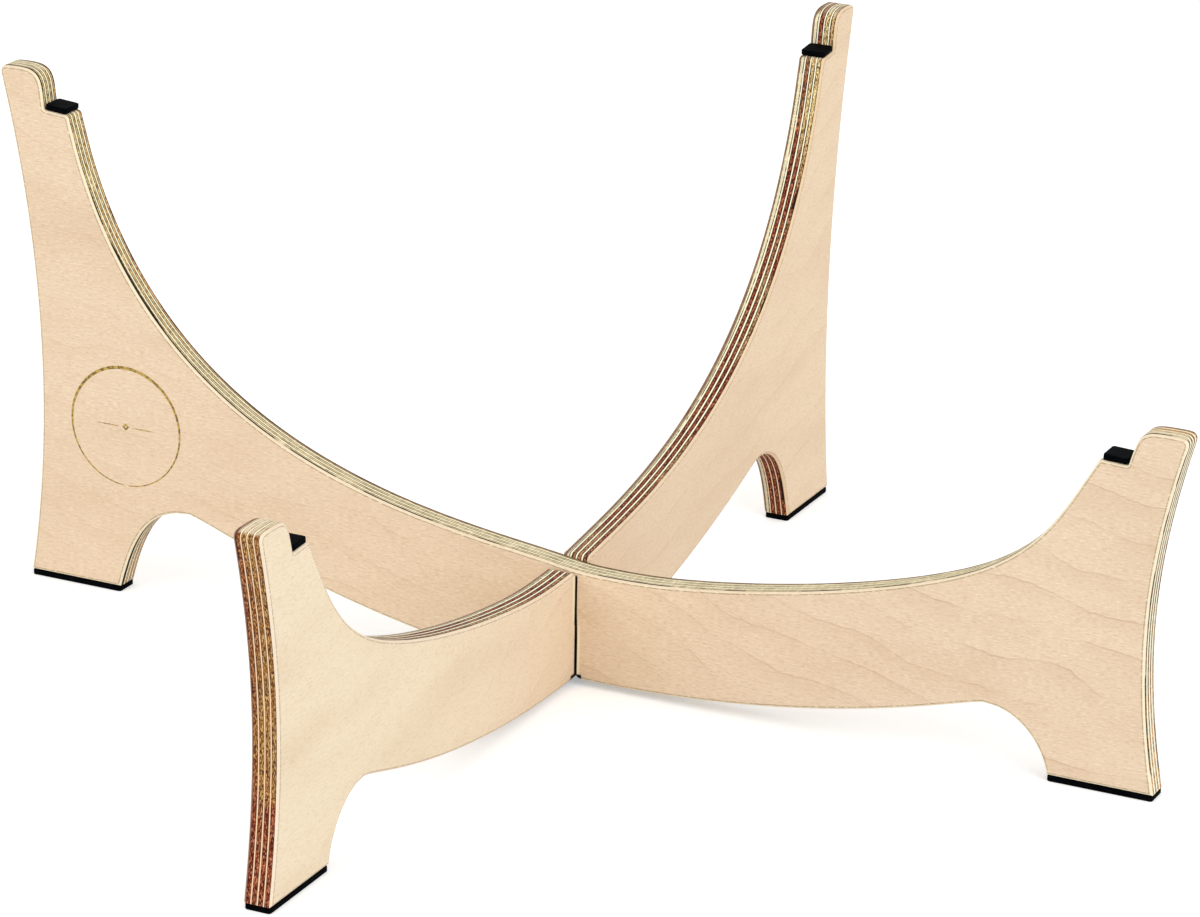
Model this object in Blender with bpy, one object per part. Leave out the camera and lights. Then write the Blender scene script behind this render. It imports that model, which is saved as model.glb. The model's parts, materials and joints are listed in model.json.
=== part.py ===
"""A stand for a handpan: two birch plywood panels of one outline, halved together at right angles.

Each panel is high at one end and low at the other, so an instrument in the four notches leans towards
the player. Every notch has a rubber pad for the rim and every foot a rubber pad for the floor.
Metres, +Z up. The origin lies on the floor, on the upright line where the panels cross. The upper
panel runs along X and the lower panel along Y; their low ends point to +X and to -Y.
"""

from collections import namedtuple
from math import cos, hypot, pi, radians, sin

import bmesh
import bpy

# Plywood and the halving joint
PLY = 0.0127                  # half-inch birch plywood
EDGE_RADIUS = 0.0015          # roundover along every edge of the wood
JOINT_PLAY = 0.0003           # on each side of a panel in the other panel's slot
GLUE_LINE = 0.0003            # between a pad and the wood that carries it
WEB_HEIGHT = 0.0508           # of the wood where the panels cross
SLOT_MOUTH_RADIUS = 0.003
SLOT_MOUTH_STEPS = 3

# Feet
FOOT_SPREAD = 0.5387          # between the outer corners of a panel's two feet
FOOT_LENGTH = 0.0465
CROSSING_SHIFT = 0.0013       # from the middle of the feet to the crossing, towards the high end
FOOT_PAD_THICKNESS = 0.0025
FOOT_PAD_CORNER = 0.002

# Notches that hold the instrument's rim, and their pads
SEAT_LENGTH = 0.0121          # along the floor of a notch
HIGH_SEAT_REACH = 0.2570      # from the crossing to the corner of the notch
HIGH_SEAT_HEIGHT = 0.2174     # of that corner above the bottom of the wood
HIGH_SEAT_TILT = 4.9          # degrees by which the floor falls towards the low end
LOW_SEAT_REACH = 0.2519
LOW_SEAT_HEIGHT = 0.1410
LOW_SEAT_TILT = 2.9
NOTCH_RADIUS = 0.0008
NOTCH_STEPS = 2
SHOULDER_RADIUS = 0.002
SHOULDER_STEPS = 3
SHOULDER_RUN = 0.004          # from the shoulder's corner to where the cradle's curve begins
REST_PAD_THICKNESS = 0.0025
REST_PAD_CORNER = 0.001
PAD_CORNER_STEPS = 3
PAD_INSET = 0.0005            # from a face of the wood to the side of a pad
PAD_EDGE = 0.0004             # bevel round the top and the bottom of a pad

# Horns outside the notches
HIGH_HORN_WIDTH = 0.0218
HIGH_HORN_RISE = 0.0179       # from the notch's corner to the top of the horn
HIGH_WALL_LENGTH = 0.0083     # of the straight inner wall
HIGH_WALL_LEAN = 7.2          # degrees by which that wall leans outward
LOW_HORN_WIDTH = 0.0247
LOW_HORN_RISE = 0.0155
LOW_WALL_LENGTH = 0.0075
LOW_WALL_LEAN = 16.4
HORN_CROWN = 0.58             # place of the horn's highest point, as a share of its width
HORN_TIP_DROP = 0.0042        # from the top of the horn to its outermost point
HORN_TIP_ANGLE = -100         # direction of travel there, as in End below

# Hollow of the cradle, and the arches between the feet and the belly
CRADLE_LOWEST = 0.0289        # from the crossing to the lowest point of the hollow
CRADLE_LOWEST_HEIGHT = 0.0495
CRADLE_BEND = 0.1825          # from the crossing to where the low side begins to steepen
CRADLE_BEND_HEIGHT = 0.0809
CRADLE_BEND_SLOPE = 23.4      # degrees
CROSSING_SLOPE = 9.7          # degrees by which the hollow falls towards the low end at the crossing
BELLY_LOWEST = 0.0193         # from the crossing to where the belly comes nearest the floor
HIGH_ARCH_REACH = 0.1860      # from the crossing to the top of the arch
HIGH_ARCH_HEIGHT = 0.0406
LOW_ARCH_REACH = 0.1950
LOW_ARCH_HEIGHT = 0.0264

WOOD_COLOUR = (0.80, 0.66, 0.49, 1.0)
WOOD_ROUGHNESS = 0.55
RUBBER_COLOUR = (0.012, 0.012, 0.013, 1.0)
RUBBER_ROUGHNESS = 0.8
SHARP_ANGLE = 40              # degrees between faces above which their edge is drawn sharp
EDGE_STEPS = 2

# Pulls are the lengths of a curve's two handles, as shares of the distance that it spans, and steps
# are the straight pieces that it is cut into.
Curve = namedtuple("Curve", "pulls steps")
HORN_INNER_CURVE = Curve((0.5, 0.5), 6)
HORN_OUTER_CURVE = Curve((0.72, 0.42), 5)
CRADLE_LOW_SIDE = Curve((0.29, 0.48), 9)
CRADLE_LOW_BEND = Curve((0.31, 0.20), 8)
CRADLE_BOTTOM = Curve((0.33, 0.33), 3)
CRADLE_HIGH_SIDE = Curve((0.18, 0.54), 24)
BELLY_HIGH_SIDE = Curve((0.041, 0.552), 16)
BELLY_LOW_SIDE = Curve((0.591, 0.05), 15)

# One end of a panel. Angles are degrees from outward, anticlockwise with up at 90, in the direction of
# travel from the cradle over the horn and down to the foot.
End = namedtuple("End", "foot reach height tilt width rise wall lean cradle_angle "
                 "outer_start outer_end outer_curve arch_reach arch_height arch_start arch_curve")
HIGH = End(foot=FOOT_SPREAD / 2 - CROSSING_SHIFT, reach=HIGH_SEAT_REACH, height=HIGH_SEAT_HEIGHT,
           tilt=HIGH_SEAT_TILT, width=HIGH_HORN_WIDTH, rise=HIGH_HORN_RISE, wall=HIGH_WALL_LENGTH,
           lean=HIGH_WALL_LEAN, cradle_angle=76.1, outer_start=-103.9, outer_end=-80.4,
           outer_curve=Curve((0.41, 0.27), 12), arch_reach=HIGH_ARCH_REACH, arch_height=HIGH_ARCH_HEIGHT,
           arch_start=105.4, arch_curve=Curve((0.39, 0.42), 8))
LOW = End(foot=FOOT_SPREAD / 2 + CROSSING_SHIFT, reach=LOW_SEAT_REACH, height=LOW_SEAT_HEIGHT,
          tilt=-LOW_SEAT_TILT, width=LOW_HORN_WIDTH, rise=LOW_HORN_RISE, wall=LOW_WALL_LENGTH,
          lean=LOW_WALL_LEAN, cradle_angle=59.3, outer_start=-105.1, outer_end=-79.0,
          outer_curve=Curve((0.37, 0.37), 12), arch_reach=LOW_ARCH_REACH, arch_height=LOW_ARCH_HEIGHT,
          arch_start=101.3, arch_curve=Curve((0.29, 0.43), 8))
FOOT_RISE = FOOT_PAD_THICKNESS + GLUE_LINE
PAD_WIDTH = PLY - 2 * PAD_INSET


def heading(degrees, length=1.0):
    """A step of the given length; 0 degrees points outward and 90 degrees up."""
    return length * cos(radians(degrees)), length * sin(radians(degrees))


def moved(point, step):
    return point[0] + step[0], point[1] + step[1]


def sweep(start, leave, end, arrive, curve):
    """Points after start on a cubic curve to end; leave and arrive are directions of travel in degrees."""
    chord = hypot(end[0] - start[0], end[1] - start[1])
    first = moved(start, heading(leave, curve.pulls[0] * chord))
    second = moved(end, heading(arrive + 180, curve.pulls[1] * chord))
    points = []
    for step in range(1, curve.steps + 1):
        t = step / curve.steps
        weights = ((1 - t) ** 3, 3 * (1 - t) ** 2 * t, 3 * (1 - t) * t ** 2, t ** 3)
        corners = (start, first, second, end)
        points.append(tuple(sum(w * c[axis] for w, c in zip(weights, corners)) for axis in (0, 1)))
    return points


def rounded_corner(before, corner, after, radius, steps):
    """An arc of the given radius that touches both straight sides of a corner."""
    side = [(p[0] - corner[0], p[1] - corner[1]) for p in (before, after)]
    unit = [(s[0] / hypot(*s), s[1] / hypot(*s)) for s in side]
    cosine = unit[0][0] * unit[1][0] + unit[0][1] * unit[1][1]
    setback = radius * ((1 + cosine) / (1 - cosine)) ** 0.5
    start, end = (moved(corner, (setback * u[0], setback * u[1])) for u in unit)
    middle = ((start[0] + end[0]) / 2, (start[1] + end[1]) / 2)
    reach = hypot(middle[0] - corner[0], middle[1] - corner[1])
    centre_distance = hypot(setback, radius)
    share = centre_distance / reach
    centre = tuple(c + (m - c) * share for c, m in zip(corner, middle))
    points = []
    for step in range(steps + 1):
        t = step / steps
        chord_point = moved(start, ((end[0] - start[0]) * t, (end[1] - start[1]) * t))
        spoke = (chord_point[0] - centre[0], chord_point[1] - centre[1])
        points.append(moved(centre, (spoke[0] * radius / hypot(*spoke), spoke[1] * radius / hypot(*spoke))))
    return points


def shoulder_of(end):
    """The inner corner of a notch's floor, where the hollow of the cradle begins."""
    return moved((end.reach, end.height), heading(end.tilt + 180, SEAT_LENGTH))


def end_outline(end):
    """One end of a panel, from the cradle over the notch, the horn and the foot to the arch's top.

    Points are (distance outward from the crossing, height above the bottom of the wood).
    """
    shoulder = shoulder_of(end)
    corner = (end.reach, end.height)
    below_shoulder = moved(shoulder, heading(end.cradle_angle + 180, SHOULDER_RUN))
    wall_angle = 90 - end.lean
    wall_top = moved(corner, heading(wall_angle, end.wall))
    crown = (end.reach + HORN_CROWN * end.width, end.height + end.rise)
    tip = (end.reach + end.width, end.height + end.rise - HORN_TIP_DROP)
    outer_foot = (end.foot, 0.0)
    inner_foot = (end.foot - FOOT_LENGTH, 0.0)
    arch_top = (end.arch_reach, end.arch_height)
    points = rounded_corner(below_shoulder, shoulder, corner, SHOULDER_RADIUS, SHOULDER_STEPS)
    points += rounded_corner(shoulder, corner, wall_top, NOTCH_RADIUS, NOTCH_STEPS)
    points += [wall_top]
    points += sweep(wall_top, wall_angle, crown, 0, HORN_INNER_CURVE)
    points += sweep(crown, 0, tip, HORN_TIP_ANGLE, HORN_OUTER_CURVE)
    points += sweep(tip, end.outer_start, outer_foot, end.outer_end, end.outer_curve)
    points += [inner_foot]
    points += sweep(inner_foot, end.arch_start, arch_top, 180, end.arch_curve)
    return points


def height_at(edge, reach):
    """Height of an edge of the outline at a distance from the crossing."""
    for first, second in zip(edge, edge[1:]):
        if min(first[0], second[0]) <= reach <= max(first[0], second[0]):
            share = (reach - first[0]) / (second[0] - first[0])
            return first[1] + share * (second[1] - first[1])
    raise ValueError("the edge does not reach that far")


def slotted(edge, slot_end):
    """An edge of the outline with the slot for the other panel cut in to the height slot_end."""
    half = PLY / 2 + JOINT_PLAY
    mouth = half + SLOT_MOUTH_RADIUS
    travel = 1 if edge[-1][0] > edge[0][0] else -1
    points = [p for p in edge if p[0] * travel < -mouth]
    walls = []
    for side in (-travel, travel):
        lip = height_at(edge, side * mouth)
        inward = 1 if slot_end > lip else -1
        arc = []
        for step in range(SLOT_MOUTH_STEPS + 1):
            turn = pi / 2 * step / SLOT_MOUTH_STEPS
            across = mouth - SLOT_MOUTH_RADIUS * sin(turn)
            arc.append((side * across, lip + inward * SLOT_MOUTH_RADIUS * (1 - cos(turn))))
        walls.append(arc + [(side * half, slot_end)])
    points += walls[0] + walls[1][::-1]
    points += [p for p in edge if p[0] * travel > mouth]
    return points


def cradle_edge():
    """The hollow's edge from the low shoulder to the high shoulder, both left out."""
    low_down = LOW.cradle_angle + 180
    high_up = 180 - HIGH.cradle_angle
    start = moved(shoulder_of(LOW), heading(low_down, SHOULDER_RUN))
    high_reach, high_height = moved(shoulder_of(HIGH), heading(HIGH.cradle_angle + 180, SHOULDER_RUN))
    end = (-high_reach, high_height)
    bend = (CRADLE_BEND, CRADLE_BEND_HEIGHT)
    lowest = (CRADLE_LOWEST, CRADLE_LOWEST_HEIGHT)
    crossing = (0.0, WEB_HEIGHT)
    points = [start]
    points += sweep(start, low_down, bend, 180 + CRADLE_BEND_SLOPE, CRADLE_LOW_SIDE)
    points += sweep(bend, 180 + CRADLE_BEND_SLOPE, lowest, 180, CRADLE_LOW_BEND)
    points += sweep(lowest, 180, crossing, 180 - CROSSING_SLOPE, CRADLE_BOTTOM)
    points += sweep(crossing, 180 - CROSSING_SLOPE, end, high_up, CRADLE_HIGH_SIDE)
    return points


def belly_edge():
    """The belly's edge from the top of the high arch to the top of the low arch, both left out."""
    high = (-HIGH_ARCH_REACH, HIGH_ARCH_HEIGHT)
    low = (LOW_ARCH_REACH, LOW_ARCH_HEIGHT)
    lowest = (BELLY_LOWEST, 0.0)
    points = sweep(high, 0, lowest, 0, BELLY_HIGH_SIDE)
    points += sweep(lowest, 0, low, 0, BELLY_LOW_SIDE)
    return points[:-1]


def panel_outline(slot_opens_up):
    """Outline of a panel, anticlockwise, as (distance towards the low end, height) points."""
    cradle = cradle_edge()
    belly = belly_edge()
    if slot_opens_up:
        cradle = slotted(cradle, WEB_HEIGHT / 2)
    else:
        belly = slotted(belly, WEB_HEIGHT / 2 + JOINT_PLAY)
    high_end = [(-reach, height) for reach, height in end_outline(HIGH)]
    low_end = end_outline(LOW)[::-1]
    return high_end + belly + low_end + cradle


def inset(outline, distance):
    """The outline moved inward by a distance, corner by corner."""
    moved_points = []
    for index, point in enumerate(outline):
        before = outline[index - 1]
        after = outline[(index + 1) % len(outline)]
        normals = []
        for a, b in ((before, point), (point, after)):
            length = hypot(b[0] - a[0], b[1] - a[1])
            normals.append(((a[1] - b[1]) / length, (b[0] - a[0]) / length))
        (nx, nz), (mx, mz) = normals
        scale = distance / (1 + nx * mx + nz * mz)
        moved_points.append((point[0] + (nx + mx) * scale, point[1] + (nz + mz) * scale))
    return moved_points


def solid_between(layers):
    """A closed mesh through layers of points, each layer one ring, with both ends filled."""
    mesh = bmesh.new()
    rings = [[mesh.verts.new(point) for point in layer] for layer in layers]
    count = len(rings[0])
    for first, second in zip(rings, rings[1:]):
        for i in range(count):
            j = (i + 1) % count
            mesh.faces.new((first[i], first[j], second[j], second[i]))
    mesh.faces.new(rings[0])
    mesh.faces.new(rings[-1])
    bmesh.ops.recalc_face_normals(mesh, faces=mesh.faces)
    return mesh


def add_object(name, mesh_data, material, parent):
    mesh = bpy.data.meshes.new(name)
    mesh_data.to_mesh(mesh)
    mesh_data.free()
    mesh.materials.append(material)
    mesh.shade_smooth()
    mesh.set_sharp_from_angle(angle=radians(SHARP_ANGLE))
    result = bpy.data.objects.new(name, mesh)
    bpy.context.scene.collection.objects.link(result)
    result.parent = parent
    return result


def add_panel(name, slot_opens_up, material, parent):
    """A panel in its own X-Z plane, with rounded edges on both faces."""
    outline = panel_outline(slot_opens_up)
    half_profile = []
    for step in range(EDGE_STEPS + 1):
        turn = pi / 2 * step / EDGE_STEPS
        half_profile.append((EDGE_RADIUS * (1 - sin(turn)), PLY / 2 - EDGE_RADIUS * (1 - cos(turn))))
    profile = [(depth, -y) for depth, y in half_profile]
    profile += half_profile[::-1]
    layers = []
    for depth, y in profile:
        layers.append([(u, y, z) for u, z in inset(outline, depth)])
    return add_object(name, solid_between(layers), material, parent)


def rounded_bar(length, width, height, corner):
    """A low bar with rounded upright corners, standing on its own X-Y plane."""
    plan = []
    for cx, cy, start in ((1, 1, 0), (-1, 1, 90), (-1, -1, 180), (1, -1, 270)):
        centre = (cx * (length / 2 - corner), cy * (width / 2 - corner))
        turns = [start + 90 * step / PAD_CORNER_STEPS for step in range(PAD_CORNER_STEPS + 1)]
        plan += [moved(centre, heading(turn, corner)) for turn in turns]
    layers = []
    for depth, z in ((PAD_EDGE, 0), (0, PAD_EDGE), (0, height - PAD_EDGE), (PAD_EDGE, height)):
        layers.append([(x, y, z) for x, y in inset(plan, depth)])
    return solid_between(layers)


def add_foot_pad(name, end, direction, material, parent):
    bar = rounded_bar(FOOT_LENGTH, PAD_WIDTH, FOOT_PAD_THICKNESS, FOOT_PAD_CORNER)
    pad = add_object(name, bar, material, parent)
    pad.location = (direction * (end.foot - FOOT_LENGTH / 2), 0, -FOOT_RISE)
    return pad


def add_rest_pad(name, end, direction, material, parent):
    """A pad along the floor of a notch, clear of the horn's wall and of the rounded shoulder."""
    length = SEAT_LENGTH - GLUE_LINE - SHOULDER_RADIUS / 2
    bar = rounded_bar(length, PAD_WIDTH, REST_PAD_THICKNESS, REST_PAD_CORNER)
    pad = add_object(name, bar, material, parent)
    along = heading(end.tilt + 180, GLUE_LINE + length / 2)
    up = heading(end.tilt + 90, GLUE_LINE)
    reach, height = moved(moved((end.reach, end.height), along), up)
    pad.location = (direction * reach, 0, height)
    pad.rotation_euler = (0, -direction * radians(end.tilt), 0)
    return pad


def add_empty(name, quarter_turns):
    """The crossing line of a panel, at the level of the bottom of its wood."""
    empty = bpy.data.objects.new(name, None)
    bpy.context.scene.collection.objects.link(empty)
    empty.location = (0, 0, FOOT_RISE)
    empty.rotation_euler = (0, 0, quarter_turns * pi / 2)
    return empty


def add_material(name, colour, roughness):
    material = bpy.data.materials.new(name)
    material.use_nodes = True
    shader = material.node_tree.nodes["Principled BSDF"]
    shader.inputs["Base Color"].default_value = colour
    shader.inputs["Roughness"].default_value = roughness
    shader.inputs["Metallic"].default_value = 0.0
    material.diffuse_color = colour
    return material


def clear_scene():
    for old in list(bpy.data.objects):
        bpy.data.objects.remove(old, do_unlink=True)


def build():
    clear_scene()
    wood = add_material("birch_plywood", WOOD_COLOUR, WOOD_ROUGHNESS)
    rubber = add_material("black_rubber", RUBBER_COLOUR, RUBBER_ROUGHNESS)
    for half, quarter_turns, slot_opens_up in (("lower", -1, True), ("upper", 0, False)):
        crossing = add_empty(half + "_crossing", quarter_turns)
        add_panel(half + "_panel", slot_opens_up, wood, crossing)
        for end_name, end, direction in (("high", HIGH, -1), ("low", LOW, 1)):
            prefix = half + "_" + end_name
            add_rest_pad(prefix + "_rest_pad", end, direction, rubber, crossing)
            add_foot_pad(prefix + "_foot_pad", end, direction, rubber, crossing)


build()
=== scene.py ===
"""The looks of the handpan stand: birch plywood with its plies along every edge, rubber pads, a ring.

Metres in the part's own frame. The upper panel lies along X and the lower panel along Y, so a panel's
long direction, its thickness and its height are called along, across and up here. The materials work in
millimetres from the same origin, so their marks stay on the piece when it moves.
"""

import json
from collections import namedtuple
from math import acos, ceil, cos, degrees, dist, hypot, pi, radians, sin

import bmesh
import bpy
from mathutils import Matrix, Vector
from mathutils.geometry import delaunay_2d_cdt


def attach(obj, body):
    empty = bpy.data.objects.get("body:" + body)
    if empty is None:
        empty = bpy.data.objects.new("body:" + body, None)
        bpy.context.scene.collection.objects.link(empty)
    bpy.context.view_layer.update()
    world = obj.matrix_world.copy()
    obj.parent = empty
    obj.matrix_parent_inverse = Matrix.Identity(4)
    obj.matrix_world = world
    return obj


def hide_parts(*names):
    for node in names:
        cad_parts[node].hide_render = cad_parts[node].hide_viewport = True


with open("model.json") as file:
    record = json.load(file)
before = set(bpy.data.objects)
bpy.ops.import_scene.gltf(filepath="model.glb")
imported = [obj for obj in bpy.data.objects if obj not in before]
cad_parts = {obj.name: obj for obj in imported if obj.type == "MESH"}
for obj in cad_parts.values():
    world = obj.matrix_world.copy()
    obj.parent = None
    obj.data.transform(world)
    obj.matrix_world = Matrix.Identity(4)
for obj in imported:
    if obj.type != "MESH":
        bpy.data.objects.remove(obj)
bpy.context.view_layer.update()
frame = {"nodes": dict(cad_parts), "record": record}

MM = 0.001

# Plywood
PLY = 0.0127
EDGE_RADIUS = 0.0015
ROUNDOVER_STEPS = 6
FACE_MARGIN = 0.0002          # flat ring inside the roundover, which keeps the face's shading flat
FINE_STEP = 0.0022            # longest step along the refined outline
FINE_TURN = 4.0               # degrees, sharpest turn along it
STRAIGHT_TURN = 0.05          # degrees, below which a segment stays one straight step
CORNER_TURN = 55.0            # degrees from which a turn of the outline is a real corner
CORNER_CLEAR = 0.0025         # no refined point lies nearer to a corner than this
LONG_SEGMENT = 2.2            # times its neighbour, from which a segment sets the direction of both
TOUCH = 0.00001               # points closer than this are one point
PLACE_DIGITS = 5              # decimals to which places are compared
SHARP_EDGE = 35.0             # degrees from which an edge is shaded sharp

# Slots of the halved joint
SLOT_HALF = 0.00665
SLOT_MOUTH = 0.00965          # half the width of the flared mouth
SLOT_LEVEL = 0.02835          # height where the two slots end
SLOT_SLACK = 0.0007
SLOT_EDGE_SHARE = 0.3         # of the roundover that the edges inside a slot have

# Rubber pads
PAD_WIDTH = 0.0117
PAD_THICKNESS = 0.0025
PAD_CORNER = 0.0014
PAD_CORNER_STEPS = 6
PAD_EDGE = 0.0005
PAD_EDGE_STEPS = 4
PAD_FLAT_RINGS = (2.5, 1.5)   # times the edge's radius, inset of the flat rings inside the edge
PAD_CROWN = 0.00001           # by how much each of them is lower than the one inside it
PAD_CHAMFER = 0.0003          # of the hidden edge
REST_PAD_LENGTH = 0.0108
FOOT_PAD_LENGTH = 0.0465

# Ring on the front of the upper panel
RING_CENTRE = (-0.2173, 0.0797)
RING_RADIUS = 0.0277
RING_LINE = 0.0013
RING_LINE_SHARE = 0.72        # of that width at the ring's sides
RING_LINE_SWELL = 0.38        # by how much more of it at the top, and less at the bottom
RING_HEIGHT = 0.00004
RING_STEPS = 160
RING_START = -88.0            # degrees, just after the small gap at the bottom
RING_GAP = 5.0
LOZENGE_CORNERS = 4
LOZENGE_HOLE = 0.0006         # from its middle to the corners of the hole
LOZENGE_REACH = 0.0017        # from its middle to its own corners

# Each rule beside the lozenge: distances from the ring's middle, and half the rule's width there
RULE_PROFILE = ((0.0035, 0.00010), (0.0060, 0.00022), (0.0110, 0.00022), (0.0145, 0.00006))

# Camera of the photograph
CAMERA_PLACE = (0.87683, -1.79952, 0.82653)
CAMERA_TURN = (70.078, -1.047, 26.004)
CAMERA_LENS = 149.80
SENSOR_WIDTH = 36.0
CAMERA_RANGE = (0.05, 30.0)

# Stage
WHITE = (1.0, 1.0, 1.0, 1.0)
FLOOR_RADIUS = 5.0
FLOOR_SEGMENTS = 96
FLOOR_GREY = 0.86
FLOOR_ROUGHNESS = 0.9
FLOOR_GLOW = 0.34             # that the camera alone sees
WORLD_LIGHT = 0.80
LIGHT_AIM = (0.0, 0.0, 0.1)
Lamp = namedtuple("Lamp", "name place size power")
LAMPS = (
    Lamp("key_light", (3.4, -1.3, 2.5), 2.4, 56.0),
    Lamp("fill_light", (-1.6, -2.6, 1.5), 2.0, 22.0),
)


# Shapes

def heading(start, end):
    """Unit direction and length of a step between two points."""
    step = (end[0] - start[0], end[1] - start[1])
    length = hypot(*step)
    return (step[0] / length, step[1] / length), length


def turn_between(first, second):
    """Degrees between two unit directions."""
    return degrees(acos(max(-1.0, min(1.0, first[0] * second[0] + first[1] * second[1]))))


def panel_ring(node, flat):
    """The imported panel's outline at its full width, as ordered (along, up) points.

    flat is the axis number of the thickness, 1 for the upper panel and 0 for the lower one.
    """
    mesh = bmesh.new()
    mesh.from_mesh(frame["nodes"][node].data)
    bmesh.ops.remove_doubles(mesh, verts=mesh.verts, dist=TOUCH)
    depth = PLY / 2 - EDGE_RADIUS
    neighbours = {}
    for edge in mesh.edges:
        on_ring = all(abs(v.co[flat] - depth) < TOUCH for v in edge.verts)
        if on_ring and any(v.co[flat] > depth + TOUCH for face in edge.link_faces for v in face.verts):
            for vert in edge.verts:
                neighbours.setdefault(vert, []).append(edge.other_vert(vert))
    start = min(neighbours, key=lambda v: (round(v.co.x + v.co.y, PLACE_DIGITS), v.co.z))
    ordered = [start, neighbours[start][0]]
    while len(ordered) < len(neighbours):
        ordered.append([v for v in neighbours[ordered[-1]] if v is not ordered[-2]][0])
    along = 1 - flat
    points = [(v.co[along] * (1 if flat else -1), v.co.z) for v in ordered]
    mesh.free()
    area = sum(a[0] * b[1] - b[0] * a[1] for a, b in zip(points, points[1:] + points[:1]))
    return points if area > 0 else points[::-1]


def tangents(points):
    """Directions of travel into and out of every point, equal unless the point is a corner."""
    result = []
    for index, point in enumerate(points):
        before, length_before = heading(points[index - 1], point)
        after, length_after = heading(point, points[(index + 1) % len(points)])
        if turn_between(before, after) > CORNER_TURN:
            result.append((before, after))
            continue
        if length_before > LONG_SEGMENT * length_after:
            shared = before
        elif length_after > LONG_SEGMENT * length_before:
            shared = after
        else:
            weighted = [b * length_after + a * length_before for b, a in zip(before, after)]
            size = hypot(*weighted)
            shared = (weighted[0] / size, weighted[1] / size)
        result.append((shared, shared))
    return result


def refined(points):
    """The outline with fine steps on smooth curves through its points."""
    ways = tangents(points)
    sharp = [point for point, (before, after) in zip(points, ways) if before != after]
    result = []
    for index, start in enumerate(points):
        following = (index + 1) % len(points)
        end = points[following]
        leave = ways[index][1]
        arrive = ways[following][0]
        length = heading(start, end)[1]
        turn = turn_between(leave, arrive)
        steps = 1 if turn < STRAIGHT_TURN else max(ceil(length / FINE_STEP), ceil(turn / FINE_TURN))
        handle = length / 3
        corners = (start, (start[0] + leave[0] * handle, start[1] + leave[1] * handle),
                   (end[0] - arrive[0] * handle, end[1] - arrive[1] * handle), end)
        for step in range(steps):
            t = step / steps
            weights = ((1 - t) ** 3, 3 * (1 - t) ** 2 * t, 3 * (1 - t) * t ** 2, t ** 3)
            point = tuple(sum(w * c[axis] for w, c in zip(weights, corners)) for axis in (0, 1))
            if step == 0 or all(dist(corner, point) > CORNER_CLEAR for corner in sharp):
                result.append(point)
    return result


def inset(points, distance, shares=None):
    """The outline moved inward by a distance, or at each point by a share of it."""
    result = []
    for index, point in enumerate(points):
        before = heading(points[index - 1], point)[0]
        after = heading(point, points[(index + 1) % len(points)])[0]
        scale = distance / (1 + before[0] * after[0] + before[1] * after[1])
        if shares:
            scale *= shares[index]
        result.append((point[0] - (before[1] + after[1]) * scale,
                       point[1] + (before[0] + after[0]) * scale))
    return result


def roundover_shares(outline, slot_opens_up):
    """Share of the roundover at every point of an outline; inside the slot the edges are nearly sharp."""
    shares = []
    for along, up in outline:
        above = up > SLOT_LEVEL - SLOT_SLACK
        below = up < SLOT_LEVEL + SLOT_SLACK
        widening = (abs(along) - SLOT_HALF) / (SLOT_MOUTH - SLOT_HALF)
        in_slot = widening < 1 and (above if slot_opens_up else below)
        shares.append(max(SLOT_EDGE_SHARE, widening) if in_slot else 1.0)
    return shares


def add_piece(name, mesh_data, material, body):
    """A finished mesh as a piece that rides on a body."""
    bmesh.ops.recalc_face_normals(mesh_data, faces=mesh_data.faces)
    mesh = bpy.data.meshes.new(name)
    mesh_data.to_mesh(mesh)
    mesh_data.free()
    mesh.materials.append(material)
    mesh.shade_smooth()
    mesh.set_sharp_from_angle(angle=radians(SHARP_EDGE))
    piece = bpy.data.objects.new(name, mesh)
    bpy.context.scene.collection.objects.link(piece)
    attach(piece, body)
    return piece


def triangles_inside(outline):
    """Triangles that fill an outline, as groups of three places in its list of points."""
    count = len(outline)
    edges = [(index, (index + 1) % count) for index in range(count)]
    points = [Vector(point) for point in outline]
    inside = 1
    _, _, triangles, origins, _, _ = delaunay_2d_cdt(points, edges, [], inside, TOUCH * MM)
    return [[origins[corner][0] for corner in triangle] for triangle in triangles]


def join_rings(mesh, first, second):
    """A band of faces between two rings of as many points."""
    for corners in zip(first, first[1:] + first[:1], second[1:] + second[:1], second):
        mesh.faces.new(corners)


def closed_stack(layers, end_outline):
    """A closed mesh through rings of points, with both ends filled as the flat end_outline is."""
    mesh = bmesh.new()
    rings = [[mesh.verts.new(point) for point in layer] for layer in layers]
    for first, second in zip(rings, rings[1:]):
        join_rings(mesh, first, second)
    for corners in triangles_inside(end_outline):
        for ring in (rings[0], rings[-1]):
            mesh.faces.new([ring[corner] for corner in corners])
    return mesh


def add_panel(name, node, flat, material, body):
    """A panel with a smooth outline and a fine roundover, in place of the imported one."""
    outline = refined(panel_ring(node, flat))
    shares = roundover_shares(outline, slot_opens_up=flat == 0)
    half = [(EDGE_RADIUS + FACE_MARGIN, PLY / 2)]
    for step in range(ROUNDOVER_STEPS + 1):
        turn = pi / 2 * step / ROUNDOVER_STEPS
        half.append((EDGE_RADIUS * (1 - sin(turn)), PLY / 2 - EDGE_RADIUS * (1 - cos(turn))))
    profile = [(depth, -across) for depth, across in half] + half[::-1]
    layers = []
    for depth, across in profile:
        ring = inset(outline, depth, shares)
        layers.append([(u, across, z) if flat else (across, -u, z) for u, z in ring])
    panel = add_piece(name, closed_stack(layers, inset(outline, profile[0][0], shares)), material, body)
    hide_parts(node)
    return panel


# Materials

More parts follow.
